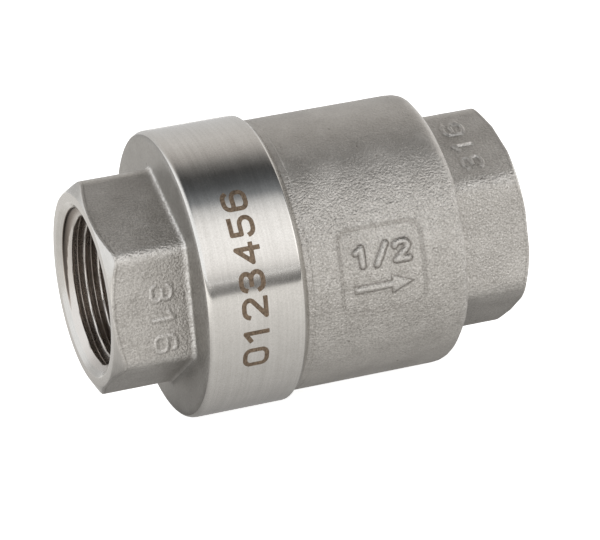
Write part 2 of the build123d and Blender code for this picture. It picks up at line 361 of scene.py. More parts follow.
def arrow_distance(u, v):
    """Signed distance, roughly, to a flow arrow that points along +u."""
    shaft = np.maximum(np.abs(u + 1.25) - 2.55, np.abs(v) - 0.32)
    slope = math.radians(22)
    head = np.maximum(-u + 1.15, (u - 3.7) * math.sin(slope) + np.abs(v) * math.cos(slope))
    return np.minimum(shaft, head)


def raised(distance, height, edge):
    """Height of a cast-in relief whose sides slope over the given edge width."""
    return height * smoothstep(0.5 - distance / edge)


# ------------------------------------------------------------------ procedural materials
class Nodes:
    """A short way to write a node tree for a metal or plastic surface in object space.

    Most methods add one node and return its output socket; their inputs are sockets or constants.
    """

    def __init__(self, name):
        self.material = bpy.data.materials.new(name)
        self.material.use_nodes = True
        self.tree = self.material.node_tree
        self.shader = self.tree.nodes["Principled BSDF"]
        self.place = self.tree.nodes.new("ShaderNodeTexCoord").outputs["Object"]

    def add(self, kind, **inputs):
        node = self.tree.nodes.new(kind)
        for key, value in inputs.items():
            self.feed(node.inputs[key.replace("_", " ")], value)
        return node

    def feed(self, socket, value):
        if isinstance(value, bpy.types.NodeSocket):
            self.tree.links.new(value, socket)
        else:
            socket.default_value = value

    def noise(self, size_mm, detail=2.0, stretch=(1, 1, 1), place=None, roughness=0.5):
        """Noise whose features are about size_mm across, stretched along the axes."""
        mapping = self.add("ShaderNodeMapping", Vector=place or self.place)
        mapping.inputs["Scale"].default_value = [1000.0 / (size_mm * s) for s in stretch]
        node = self.add(
            "ShaderNodeTexNoise", Vector=mapping.outputs[0], Scale=1.0, Detail=detail, Roughness=roughness
        )
        return node.outputs["Fac"]

    def ramp(self, value, low, high, out_low=0.0, out_high=1.0):
        node = self.add("ShaderNodeMapRange", Value=value)
        node.inputs["From Min"].default_value = low
        node.inputs["From Max"].default_value = high
        node.inputs["To Min"].default_value = out_low
        node.inputs["To Max"].default_value = out_high
        return node.outputs["Result"]

    def math(self, operation, a, b=0.0):
        node = self.tree.nodes.new("ShaderNodeMath")
        node.operation = operation
        self.feed(node.inputs[0], a)
        self.feed(node.inputs[1], b)
        return node.outputs[0]

    def mix(self, factor, dark, light):
        node = self.tree.nodes.new("ShaderNodeMix")
        node.data_type = "RGBA"
        self.feed(node.inputs["Factor"], factor)
        self.feed(node.inputs["A"], dark if isinstance(dark, bpy.types.NodeSocket) else (*dark, 1))
        self.feed(node.inputs["B"], light if isinstance(light, bpy.types.NodeSocket) else (*light, 1))
        return node.outputs["Result"]

    def bump(self, height, depth_mm, strength=1.0, normal=None):
        node = self.add("ShaderNodeBump", Height=height, Strength=strength, Distance=depth_mm * MM)
        if normal is not None:
            self.feed(node.inputs["Normal"], normal)
        return node.outputs["Normal"]

    def attribute(self, name):
        node = self.tree.nodes.new("ShaderNodeAttribute")
        node.attribute_name = name
        return node.outputs["Fac"]

    def x_and_radius(self):
        """Place along the flow axis, and distance from it."""
        split = self.add("ShaderNodeSeparateXYZ", Vector=self.place)
        flat = self.add("ShaderNodeCombineXYZ", Y=split.outputs["Y"], Z=split.outputs["Z"])
        length = self.tree.nodes.new("ShaderNodeVectorMath")
        length.operation = "LENGTH"
        self.feed(length.inputs[0], flat.outputs[0])
        return split.outputs["X"], length.outputs["Value"]

    def metal(self, color, roughness, normal=None):
        self.feed(self.shader.inputs["Metallic"], 1.0)
        self.feed(self.shader.inputs["Base Color"], color)
        self.feed(self.shader.inputs["Roughness"], roughness)
        if normal is not None:
            self.feed(self.shader.inputs["Normal"], normal)
        return self.material


def cast_steel(name, grain_mm=0.23, peel_mm=0.14, rough=0.38, speck=1.0, tone=1.0):
    """Bead-blasted investment casting: grain, orange peel, blotches, pits, wear, painted highlights and
    crevice dirt.

    The grain is coarsest round the middle of the sides and fades towards the top and bottom.
    """
    n = Nodes(name)
    height = n.add("ShaderNodeSeparateXYZ", Vector=n.place).outputs["Z"]
    coarse = n.math(
        "MULTIPLY", n.ramp(height, 0.007, 0.013, 1.0, 0.35), n.ramp(height, -0.015, -0.008, 0.4, 1.0)
    )
    grain = n.noise(0.28, 2.0, roughness=0.6)
    peel = n.noise(1.1, 2.0)
    blotch = n.noise(4.0, 3.0)
    pits = n.ramp(n.noise(0.9, 1.0), 0.77, 0.83)
    tint = n.math("MULTIPLY", n.math("SUBTRACT", n.noise(0.24, 1.0), 0.5), 2.2 * speck)
    tint = n.math("ADD", n.math("MULTIPLY", tint, coarse), blotch)
    low, high = [(c * tone for c in shade) for shade in ((0.38, 0.362, 0.338), (0.64, 0.62, 0.59))]
    color = n.mix(n.ramp(tint, 0.0, 1.0), low, high)
    # Pale mix: rubbed wear on corners and marks, and painted highlight on root fillets, chamfer edges and the
    # barrel's shoulder; dark mix: crevice dirt.
    wear_and_highlight = n.attribute("wear_and_highlight")
    patchy = n.ramp(n.noise(0.45, 3.0), 0.36, 0.58, 0.2, 1.0)
    bright_wear_and_highlight = n.math("MULTIPLY", n.math("MULTIPLY", n.ramp(wear_and_highlight, 0.0, 1.0), patchy), 0.8)
    color = n.mix(bright_wear_and_highlight, color, (0.86, 0.845, 0.82))
    color = n.mix(n.math("MULTIPLY", n.ramp(wear_and_highlight, 0.0, -1.0), 0.85), color, (0.13, 0.115, 0.10))
    color = n.mix(n.math("MULTIPLY", pits, 0.7), color, (0.16, 0.14, 0.12))
    gloss = n.ramp(n.math("ADD", grain, blotch), 0.7, 1.3, rough - 0.05, rough + 0.07)
    gloss = n.math("ADD", gloss, n.math("MULTIPLY", n.math("SUBTRACT", 1.0, coarse), 0.12))
    normal = n.bump(n.math("MULTIPLY", peel, coarse), peel_mm)
    normal = n.bump(n.math("MULTIPLY", grain, coarse), grain_mm, normal=normal)
    normal = n.bump(n.math("SUBTRACT", 1.0, pits), 0.03, normal=normal)
    return n.metal(color, gloss, normal)


def polished_band(name):
    """Finely turned and polished collar: hair-fine rings round the axis and a few soft smudges."""
    n = Nodes(name)
    rings = n.noise(0.05, 2.0, stretch=(1, 400, 400))
    wide_rings = n.noise(0.35, 1.0, stretch=(1, 60, 60))
    smudge = n.noise(3.5, 4.0, roughness=0.6)
    tint = n.math("ADD", n.math("MULTIPLY", n.noise(0.20, 2.0), 0.5), n.math("MULTIPLY", wide_rings, 0.35))
    tint = n.math("ADD", tint, n.math("MULTIPLY", smudge, 0.3))
    color = n.mix(n.ramp(tint, 0.40, 0.75), (0.58, 0.565, 0.54), (0.71, 0.695, 0.67))
    rough = n.math(
        "ADD", n.ramp(rings, 0.3, 0.7, 0.12, 0.20), n.ramp(smudge, 0.4, 0.75, 0.0, 0.06)
    )
    normal = n.bump(rings, 0.0006, 0.5)
    normal = n.bump(wide_rings, 0.0012, 0.35, normal)
    tangent = n.tree.nodes.new("ShaderNodeTangent")
    tangent.direction_type = "RADIAL"
    tangent.axis = "X"
    n.feed(n.shader.inputs["Tangent"], tangent.outputs[0])
    n.shader.inputs["Anisotropic"].default_value = 0.7
    n.shader.inputs["Anisotropic Rotation"].default_value = 0.25
    return n.metal(color, rough, normal)


def turned_steel(name, light, dark, rough_low, rough_high):
    """Lathe-turned steel: rings that follow the radius on faces and the axis on cylinders."""
    n = Nodes(name)
    x, radius = n.x_and_radius()
    across = n.add("ShaderNodeCombineXYZ", X=x, Y=radius)
    rings = n.noise(0.09, 2.0, place=across.outputs[0])
    stain = n.noise(1.8, 3.0)
    color = n.mix(n.math("MULTIPLY", n.ramp(rings, 0.3, 0.7), n.ramp(stain, 0.25, 0.7)), dark, light)
    rough = n.ramp(n.math("ADD", rings, stain), 0.7, 1.3, rough_low, rough_high)
    return n.metal(color, rough, n.bump(rings, 0.0025, 0.5))


def thread_steel(name):
    """Cut thread: bright flanks and crests, cutting-oil film in the roots, dirt in the first groove."""
    n = Nodes(name)
    low, high = (pipe_minor_radius + 0.25) * MM, (pipe_major_radius - 0.15) * MM
    film = n.ramp(n.x_and_radius()[1], low, high)
    stain = n.noise(2.5, 3.0)
    film = n.math("MULTIPLY", film, n.ramp(stain, 0.25, 0.75, 0.5, 1.0))
    wear_and_highlight = n.attribute("wear_and_highlight")
    film = n.math("SUBTRACT", film, wear_and_highlight)
    color = n.mix(film, (0.58, 0.55, 0.52), (0.29, 0.245, 0.21))
    color = n.mix(n.ramp(wear_and_highlight, 0.0, -1.0), color, (0.09, 0.078, 0.068))
    chatter = n.noise(0.10, 1.0, stretch=(1, 60, 60))
    return n.metal(color, n.ramp(stain, 0.3, 0.7, 0.22, 0.32), n.bump(chatter, 0.004))


def drawn_wire(name):
    """Spring wire: smooth, slightly straw-brown from stress relief, faint drawing lines."""
    n = Nodes(name)
    lines = n.noise(0.25, 2.0, stretch=(1, 6, 6))
    color = n.mix(n.ramp(n.noise(2.0, 2.0), 0.35, 0.65), (0.44, 0.40, 0.34), (0.58, 0.55, 0.50))
    return n.metal(color, n.ramp(lines, 0.3, 0.7, 0.22, 0.36), n.bump(lines, 0.003, 0.5))


def fluoropolymer(name):
    """Waxy off-white seal plastic with faint machining rings and soft translucency."""
    n = Nodes(name)
    cloud = n.noise(1.5, 3.0)
    rings = n.noise(0.12, 1.0, stretch=(1, 40, 40))
    color = n.mix(n.ramp(cloud, 0.3, 0.7), (0.72, 0.72, 0.68), (0.80, 0.80, 0.77))
    n.feed(n.shader.inputs["Base Color"], color)
    n.feed(n.shader.inputs["Roughness"], n.ramp(cloud, 0.3, 0.7, 0.32, 0.46))
    n.feed(n.shader.inputs["Normal"], n.bump(rings, 0.004, 0.5))
    n.shader.inputs["Subsurface Weight"].default_value = 0.15
    n.shader.inputs["Subsurface Radius"].default_value = (0.0006, 0.0006, 0.0005)
    n.shader.inputs["Subsurface Scale"].default_value = 1.0
    return n.material


def etched_oxide(name):
    """Laser-marked steel: dark brown oxide with a fine patchy grain, slightly matt."""
    n = Nodes(name)
    patch = n.noise(0.30, 4.0, roughness=0.7)
    lines = n.noise(0.10, 1.0, stretch=(1, 8, 8))
    tint = n.math("ADD", n.math("MULTIPLY", patch, 0.7), n.math("MULTIPLY", lines, 0.3))
    color = n.mix(n.ramp(tint, 0.32, 0.68), (0.07, 0.048, 0.032), (0.30, 0.225, 0.16))
    n.feed(n.shader.inputs["Base Color"], color)
    n.shader.inputs["Metallic"].default_value = 0.75
    n.feed(n.shader.inputs["Roughness"], n.ramp(patch, 0.3, 0.7, 0.38, 0.55))
    n.feed(n.shader.inputs["Normal"], n.bump(patch, 0.002, 0.6))
    return n.material


# ------------------------------------------------------------------ shell geometry
def pipe_thread(x, angles, face_x, end_x):
    """Right-hand female thread running in from the countersink: its radius, and its wear.

    Wear is 1 on the clean countersink and below 0 where dirt sits in the first shallow groove. The
    thread fades out over its last turn towards end_x.
    """
    phase = np.mod((x + thread_shift) / pipe_pitch - angles / 360.0, 1.0)
    steepness, groove_share, dirt_depth = 1.35, 1.28, 1.75
    wave = np.clip(steepness * (groove_share - 4 * np.abs(phase - 0.5)), -1, 1)
    depth = (pipe_major_radius - pipe_minor_radius) * (0.5 + 0.5 * np.sin(np.pi / 2 * wave))
    thread = pipe_minor_radius + depth * smoothstep(np.abs(x - end_x) / pipe_pitch)
    inside = np.abs(x - face_x)
    cone = mouth_radius - countersink_slope * inside
    dirt = smoothstep((thread - cone) / 0.05) * smoothstep(dirt_depth - inside)
    return np.maximum(thread, cone), smoothstep((cone - thread) / 0.05) - dirt


def thread_mouth(profile, face_x, inward, cuts):
    """Mouth of a threaded end: the countersink's rim, then the rows that the thread is cut into."""
    radius = mouth_radius - countersink_slope * countersink_plain_depth
    profile.to(face_x, mouth_radius, fillet=0.10, cuts=3, zone="face")
    profile.to(face_x + inward * countersink_plain_depth, radius, cuts=cuts, zone="thread")


def chamfer_edge(angles, spec, root_x, face_x, face_radius):
    """Radius of the turned face's rim, and where the chamfer meets the hexagon."""
    away = 1.0 if face_x > root_x else -1.0
    outline = hex_radius(angles, **spec)
    rim = np.minimum(face_radius, outline - 0.04)
    return rim, face_x - away * (outline - rim) / chamfer_slope


def hexagon_rows(profile, spec, root_x, face_x, face_radius, zone):
    """Walks out along a hexagon from its root to the face, with the 30 degree turned chamfer."""
    outline = hex_radius(profile.angles, **spec)
    rim, edge_x = chamfer_edge(profile.angles, spec, root_x, face_x, face_radius)
    profile.to(root_x, outline, fillet=0.8, cuts=51, zone=zone)
    profile.to(edge_x, outline, fillet=0.30, cuts=3, zone="face")
    profile.to(face_x, rim, fillet=0.18, cuts=3, zone="end_face")


def hexagon_marks(x, angles, normal_angle, apothem, centre_x, centre_t, direction):
    """Distance to the foundry numerals on a hexagon flat; direction +1 reads downwards, -1 upwards."""
    t = apothem * np.tan(np.radians(np.clip(turn_from(angles, normal_angle), -40, 40)))
    u = direction * (t - centre_t)
    v = direction * (x - centre_x)
    return text_distance(u, v, "316", width=2.3, height=3.0, pitch=3.3, stroke=0.36)


def crevice(distance, width=0.13):
    """How much dirt gathers along the foot of a raised mark."""
    return np.exp(-(((distance - 0.16) / width) ** 2))


def hexagon_wear_and_highlight(x, radius, angles, spec, root_x, edge_x):
    """Rubbed metal on the hexagon's corners, a painted highlight in the root fillet on its upper side, and a
    bright line along the chamfer edge, partly rubbed and partly painted highlight, with a darker line beside
    it.
    """
    root = np.hypot(x - root_x, radius - hex_radius(angles, **spec))
    # Bright line along the chamfer edge, partly rubbed edge and partly painted highlight, with a darker line
    # just beside it.
    edge = np.exp(-(((x - edge_x) / 0.16) ** 2))
    edge -= 0.6 * np.exp(-(((np.abs(x - edge_x) - 0.34) / 0.12) ** 2))
    corner = np.abs(turn_from(6 * (angles - spec["angle"]), 0.0)) / 6
    # Painted highlight in the root fillet, kept to the upper side where the light falls and fading out
    # underneath.
    lit_upper_side = smoothstep((radius * np.sin(np.radians(angles)) + 11.0) / 4.0)
    root_highlight = 0.8 * smoothstep((0.85 - root) / 0.4) * lit_upper_side
    return root_highlight + 0.45 * np.exp(-((corner / 3.0) ** 2)) + 0.8 * edge


def cast_swell(x, angles, amount):
    """Slow, shallow unevenness of an as-cast surface."""
    turn = np.radians(angles)
    wave = np.sin(0.9 * x + 3 * turn) * np.sin(5 * turn + 0.4 * x)
    wave = wave + 0.6 * np.sin(2.1 * x - 4 * turn + 1.0) * np.sin(7 * turn - 0.8 * x)
    return amount * wave


def make_end_cap(zone_materials):
    """Inlet half: cast hexagon with its thread, turned flange face and polished collar."""
    corners = [(inlet_hex["angle"] + 60 * k, 3.5, 0.8) for k in range(6)]
    angles = column_angles(2.6, corners + [(185.5, 25.0, 0.6)])
    p = Profile(angles)
    p.to(collar_end_x, joint_bore_radius, fillet=0.15, cuts=2)
    p.to(collar_end_x, collar_radius - collar_back_chamfer, fillet=0.12, cuts=2, zone="chamfer")
    p.to(collar_end_x - collar_back_chamfer, collar_radius, fillet=0.25, cuts=22, zone="band")
    p.to(inlet_hex_length, collar_radius, fillet=collar_front_fillet, cuts=7, zone="flange")
    hexagon_rows(p, inlet_hex, inlet_hex_length, 0.0, inlet_face_radius, "hexagon")
    thread_mouth(p, 0.0, 1.0, cuts=112)
    p.to(inlet_bore_end_x, pipe_minor_radius, cuts=2, zone="inside")
    p.to(inlet_bore_end_x, throat_radius, fillet=0.3, cuts=3, zone="inside")
    p.to(seat_face_x, throat_radius, fillet=0.2, cuts=5, zone="inside")
    p.to(seat_face_x, joint_bore_radius, cuts=4, zone="inside")
    x, radius, zones = p.rows()
    wear_and_highlight = np.zeros(x.shape)
    chamfer_x = chamfer_edge(angles, inlet_hex, inlet_hex_length, 0.0, inlet_face_radius)[1]
    for row, zone in enumerate(zones):
        if zone == "hexagon":
            wear_and_highlight[row] = hexagon_wear_and_highlight(
                x[row], radius[row], angles, inlet_hex, inlet_hex_length, chamfer_x
            )
            marks = hexagon_marks(
                x[row], angles, normal_angle=184.5, apothem=12.5, centre_x=6.5, centre_t=1.5, direction=1.0
            )
            wear_and_highlight[row] += 0.7 * np.exp(-((marks / 0.09) ** 2)) - 0.4 * crevice(marks, 0.09)
            radius[row] += raised(marks, 0.20, 0.24) + cast_swell(x[row], angles, 0.006)
        elif zone == "thread":
            thread_end_x = inlet_bore_end_x - thread_end_gap
            radius[row], wear_and_highlight[row] = pipe_thread(x[row], angles, 0.0, thread_end_x)
    piece = lathe("end_cap_shell", angles, x, radius, zones, zone_materials, wear_and_highlight)
    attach(piece, "housing")
    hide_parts("end_cap")


def panel_relief(x, angles):
    """Sunken marking panel with raised numerals and flow arrow: change of radius, and wear."""
    u = x - panel_x
    v = -np.radians(turn_from(angles, panel_angle)) * body_radius
    inside = rounded_square_distance(u, v, panel_half, panel_corner)
    relief = -panel_depth * smoothstep(0.5 - inside / 0.55)
    numerals = text_distance(u, v - 1.9, "1/2", width=2.3, height=2.8, pitch=2.75, stroke=0.58)
    arrow = arrow_distance(u, v + 2.25)
    relief += raised(numerals, 0.32, 0.42) + raised(arrow, 0.28, 0.42)
    wear_and_highlight = 0.4 * smoothstep(-np.minimum(numerals, arrow) / 0.2)
    wear_and_highlight -= np.maximum(1.0 * crevice(numerals, 0.11), 0.8 * crevice(arrow, 0.10))
    wear_and_highlight -= 0.4 * crevice(np.abs(inside), 0.15)
    return relief, wear_and_highlight


def make_body(zone_materials):
    """Outlet half: cast barrel with the marking panel, cast outlet hexagon and its thread."""
    corners = [(outlet_hex["angle"] + 60 * k, 5.0, 1.0) for k in range(6)]
    angles = column_angles(2.6, corners + [(120.0, 17.0, 1.0), (panel_angle, 19.0, 0.48)])
    p = Profile(angles)
    p.to(spigot_end_x, chamber_radius, fillet=0.2, cuts=1)
    p.to(spigot_end_x, joint_root_radius, fillet=0.2, cuts=1)
    for ridge in range(joint_turns):
        ridge_x = joint_first_ridge_x + ridge * joint_pitch
        p.to(ridge_x - 0.6, joint_root_radius, fillet=0.05, cuts=1)
        p.to(ridge_x - 0.1, joint_crest_radius, fillet=0.05, cuts=1)
        p.to(ridge_x + 0.1, joint_crest_radius, fillet=0.05, cuts=1)
        p.to(ridge_x + 0.6, joint_root_radius, fillet=0.05, cuts=1)
    p.to(collar_end_x, joint_root_radius, cuts=1)
    strip_end_x = collar_end_x + strip_width
    p.to(collar_end_x, body_radius - strip_depth, fillet=0.08, cuts=5, zone="strip")
    p.to(strip_end_x, body_radius - strip_depth, fillet=0.06, cuts=1, zone="barrel")
    p.to(strip_end_x + strip_slope_width, body_radius, fillet=0.06, cuts=8, zone="barrel")
    p.to(panel_x - panel_half - 0.5, body_radius, cuts=84, zone="barrel")
    p.to(panel_x + panel_half + 0.5, body_radius, cuts=11, zone="barrel")
    p.to(shoulder_x, body_radius, fillet=shoulder_fillet, cuts=4, zone="barrel")
    hexagon_rows(p, outlet_hex, shoulder_x, total_length, outlet_face_radius, "hexagon")
    thread_mouth(p, total_length, -1.0, cuts=70)
    p.to(outlet_bore_start_x, pipe_minor_radius, cuts=2, zone="inside")
    p.to(outlet_bore_start_x, outlet_throat_radius, fillet=0.3, cuts=2, zone="inside")
    p.to(outlet_throat_x, outlet_throat_radius, fillet=0.5, cuts=5, zone="inside")
    p.to(chamber_end_x, guide_step_radius, fillet=0.5, cuts=2, zone="inside")
    p.to(guide_step_x, guide_step_radius, fillet=0.1, cuts=1, zone="inside")
    p.to(guide_step_x, chamber_radius, cuts=2, zone="inside")
    p.to(guide_front_x, chamber_radius, cuts=1, zone="inside")
    p.to(guide_front_x, ring_groove_radius, cuts=1, zone="inside")
    p.to(guide_front_x - ring_thickness, ring_groove_radius, cuts=1, zone="inside")
    p.to(guide_front_x - ring_thickness, chamber_radius, cuts=8, zone="inside")
    x, radius, zones = p.rows()
    wear_and_highlight = np.zeros(x.shape)
    chamfer_x = chamfer_edge(angles, outlet_hex, shoulder_x, total_length, outlet_face_radius)[1]
    for row, zone in enumerate(zones):
        if zone == "barrel":
            relief, wear_and_highlight[row] = panel_relief(x[row], angles)
            radius[row] += relief + cast_swell(x[row], angles, 0.005)
            # Painted highlight: a bright band round the barrel just before the shoulder fillet.
            wear_and_highlight[row] += 0.4 * np.exp(-(((x[row] - shoulder_x + 0.5) / 0.7) ** 2))
        elif zone == "hexagon":
            wear_and_highlight[row] = 0.6 * hexagon_wear_and_highlight(
                x[row], radius[row], angles, outlet_hex, shoulder_x, chamfer_x
            )
            marks = hexagon_marks(
                x[row], angles, normal_angle=120.0, apothem=12.7, centre_x=50.6, centre_t=0.0, direction=-1.0
            )
            wear_and_highlight[row] += 0.9 * np.exp(-((marks / 0.10) ** 2)) - 0.5 * crevice(marks, 0.10)
            radius[row] += raised(marks, 0.22, 0.24) + cast_swell(x[row], angles, 0.010)
        elif zone == "thread":
            thread_end_x = outlet_bore_start_x + thread_end_gap
            radius[row], wear_and_highlight[row] = pipe_thread(x[row], angles, total_length, thread_end_x)
    piece = lathe("body_shell", angles, x, radius, zones, zone_materials, wear_and_highlight)
    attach(piece, "housing")
    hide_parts("body")


# ------------------------------------------------------------------ etched mark and spring
def make_etched_mark(material):
    """A thin skin of oxide in the shape of the numerals, wrapped on the collar and reading upwards."""
    cell, height, length = 0.09, 3.45, 23.6
    centre_x, centre_angle = 16.55, 175.2
    cols, rows = int(length / cell) + 3, int(height / cell) + 3
    u, v = np.meshgrid(
        (np.arange(cols + 1) - cols / 2) * cell, (np.arange(rows + 1) - rows / 2) * cell, indexing="ij"
    )

    def mark(a, b):
        return text_distance(a, b, "0123456", 2.85, height, pitch=3.46, stroke=0.60, square=True)

    distance = mark(u, v)
    step = 0.01
    slope_u = (mark(u + step, v) - mark(u - step, v)) / (2 * step)
    slope_v = (mark(u, v + step) - mark(u, v - step)) / (2 * step)
    middle = (distance[:-1, :-1] + distance[1:, :-1] + distance[:-1, 1:] + distance[1:, 1:]) / 4
    kept = middle < 0
    touch_in = np.zeros(distance.shape, int)
    for du in (0, 1):
        for dv in (0, 1):
            touch_in[du : du + cols, dv : dv + rows] += kept
    rim = (touch_in > 0) & (touch_in < 4)
    u = np.where(rim, u - distance * slope_u, u)
    v = np.where(rim, v - distance * slope_v, v)
    used = touch_in > 0
    index = np.cumsum(used).reshape(used.shape) - 1
    count = int(used.sum())
    top_radius, low_radius = collar_radius + 0.006, collar_radius - 0.05
    turn = np.radians(centre_angle) - u[used] / collar_radius
    x = centre_x - v[used]
    verts = [
        np.stack([x, r * np.cos(turn), r * np.sin(turn)], axis=1) for r in (top_radius, low_radius)
    ]
    faces, edges = [], {}
    for i, j in zip(*np.nonzero(kept)):
        loop = [index[i, j], index[i + 1, j], index[i + 1, j + 1], index[i, j + 1]]
        faces.append(tuple(int(k) for k in loop))
        faces.append(tuple(int(k) + count for k in reversed(loop)))
        for a, b in zip(loop, loop[1:] + loop[:1]):
            edges[(int(a), int(b))] = True
    for a, b in edges:
        if (b, a) not in edges:
            faces.append((b, a, a + count, b + count))
    piece = new_object("collar_etched_mark", np.concatenate(verts), faces, [material])
    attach(piece, "housing")


def make_spring(material):
    """Compression spring with one closed, ground coil at each end."""
    start_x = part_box("disc")[1].x / MM - 1.6
    end_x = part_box("spring_washer")[0].x / MM
    mean_radius, wire_radius, turns, around = 6.8, 0.4, 7.0, 14
    steps = int(turns * 40)
    t = np.linspace(0, turns, steps + 1)
    free = end_x - start_x - 2 * wire_radius
    closed = 2 * wire_radius * 1.04
    rise = np.interp(t, [0, 1, turns - 1, turns], [0, closed, free - closed, free])
    kernel = np.ones(15) / 15
    rise = np.convolve(np.pad(rise, 7, mode="edge"), kernel, mode="valid")
    angle = 2 * np.pi * t
    centre = np.stack(
        [start_x + wire_radius + rise, mean_radius * np.cos(angle), mean_radius * np.sin(angle)], axis=1
    )
    outward = np.stack([np.zeros_like(t), np.cos(angle), np.sin(angle)], axis=1)
    along = np.array([1.0, 0.0, 0.0])
    verts, faces = [], []
    for k in range(steps + 1):
        for s in range(around):
            a = 2 * math.pi * s / around
            point = centre[k] + wire_radius * (math.cos(a) * outward[k] + math.sin(a) * along)
            point[0] = min(max(point[0], start_x + 0.03), end_x - 0.03)
            verts.append(point)
    for k in range(steps):
        for s in range(around):
            nxt = (s + 1) % around
            faces.append((k * around + s, k * around + nxt, (k + 1) * around + nxt, (k + 1) * around + s))
    faces.append(tuple(reversed(range(around))))
    faces.append(tuple(range(steps * around, (steps + 1) * around)))
    piece = new_object("return_spring", verts, faces, [material])
    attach(piece, "housing")
    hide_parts("spring")
    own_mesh(piece)


# ------------------------------------------------------------------ studio
def make_camera():
    """Long lens from the front left, a little above, tilted so the flow axis runs gently uphill."""
    azimuth, elevation, roll, distance = 18.41, 13.13, -6.47, 467.4
    target = Vector((28.77, -0.90, -2.59)) * MM
    a, e = math.radians(azimuth), math.radians(elevation)
    forward = Vector((math.sin(a) * math.cos(e), math.cos(a) * math.cos(e), -math.sin(e)))
    level = forward.to_track_quat("-Z", "Y").to_matrix()
    camera = bpy.data.objects.new("camera", bpy.data.cameras.new("camera"))
    camera.matrix_world = Matrix.Translation(target - forward * distance * MM) @ (
        level @ Matrix.Rotation(math.radians(roll), 3, "Z")
    ).to_4x4()
    camera.data.lens = 217.8
    camera.data.sensor_width = 36.0
    camera.data.clip_start, camera.data.clip_end = 0.02, 20.0
    camera.data.shift_x, camera.data.shift_y = -0.0006, 0.0011
    bpy.context.scene.collection.objects.link(camera)
    bpy.context.scene.camera = camera


def fill_ramp(node, stops):
    """Sets a colour ramp's stops from pairs of position and colour."""
    while len(node.color_ramp.elements) < len(stops):
        node.color_ramp.elements.new(0.5)
    for element, (position, color) in zip(node.color_ramp.elements, stops):
        element.position = position
        element.color = (*color, 1)


def flat_sheet(name, half, height, material):
    """A level square sheet under the valve, all in metres."""
    mesh = bpy.data.meshes.new(name)
    corners = [(-half, -half, height), (half, -half, height), (half, half, height), (-half, half, height)]
    mesh.from_pydata(corners, [], [(0, 1, 2, 3)])
    mesh.materials.append(material)
    sheet = bpy.data.objects.new(name, mesh)
    bpy.context.scene.collection.objects.link(sheet)
    return sheet


def make_world():
    """Soft studio all round: a large front softbox, a dark gap overhead, pale walls."""
    world = bpy.data.worlds.new("studio")
    bpy.context.scene.world = world
    world.use_nodes = True
    nodes, links = world.node_tree.nodes, world.node_tree.links
    place = nodes.new("ShaderNodeTexCoord")
    split = nodes.new("ShaderNodeSeparateXYZ")
    links.new(place.outputs["Generated"], split.inputs[0])
    angle = nodes.new("ShaderNodeMath")
    angle.operation = "ARCTAN2"
    links.new(split.outputs["Z"], angle.inputs[0])
    links.new(split.outputs["Y"], angle.inputs[1])
    share = nodes.new("ShaderNodeMapRange")
    share.inputs["From Min"].default_value = 0.0
    share.inputs["From Max"].default_value = math.pi
    links.new(angle.outputs[0], share.inputs["Value"])
    ramp = nodes.new("ShaderNodeValToRGB")
    ramp.color_ramp.interpolation = "LINEAR"
    links.new(share.outputs["Result"], ramp.inputs[0])
    # Degrees from the horizon behind the object, over the top, to the one in front; brightness; warmth
    stops = [
        (0, 0.66, 0.0),
        (30, 0.69, 0.015),
        (48, 0.70, 0.03),
        (62, 0.62, 0.04),
        (72, 0.46, 0.045),
        (82, 0.21, 0.03),
        (92, 0.06, 0.0),
        (104, 0.10, -0.05),
        (116, 0.27, -0.05),
        (124, 0.82, 0.0),
        (134, 1.14, 0.01),
        (152, 1.26, 0.01),
        (166, 1.18, 0.015),
        (174, 0.98, 0.02),
        (180, 0.62, 0.02),
    ]
    fill_ramp(
        ramp,
        [
            (degrees / 180.0, [0.5 * level * (1 + side * warmth) for side in (1, 0, -1)])
            for degrees, level, warmth in stops
        ],
    )
    side_wall = nodes.new("ShaderNodeMapRange")
    side_wall.interpolation_type = "SMOOTHSTEP"
    side_wall.inputs["From Min"].default_value = 0.38
    side_wall.inputs["From Max"].default_value = 0.75
    side_wall.inputs["To Min"].default_value = 2.0
    side_wall.inputs["To Max"].default_value = 3.2
    links.new(split.outputs["X"], side_wall.inputs["Value"])
    end_wall = nodes.new("ShaderNodeMapRange")
    end_wall.interpolation_type = "SMOOTHSTEP"
    end_wall.inputs["From Min"].default_value = -0.42
    end_wall.inputs["From Max"].default_value = -0.75
    links.new(split.outputs["X"], end_wall.inputs["Value"])
    walls = nodes.new("ShaderNodeMix")
    walls.data_type = "RGBA"
    walls.inputs["B"].default_value = (0.63, 0.64, 0.65, 1)
    links.new(end_wall.outputs["Result"], walls.inputs["Factor"])
    links.new(ramp.outputs[0], walls.inputs["A"])
    background = nodes["Background"]
    links.new(walls.outputs["Result"], background.inputs["Color"])
    links.new(side_wall.outputs["Result"], background.inputs["Strength"])


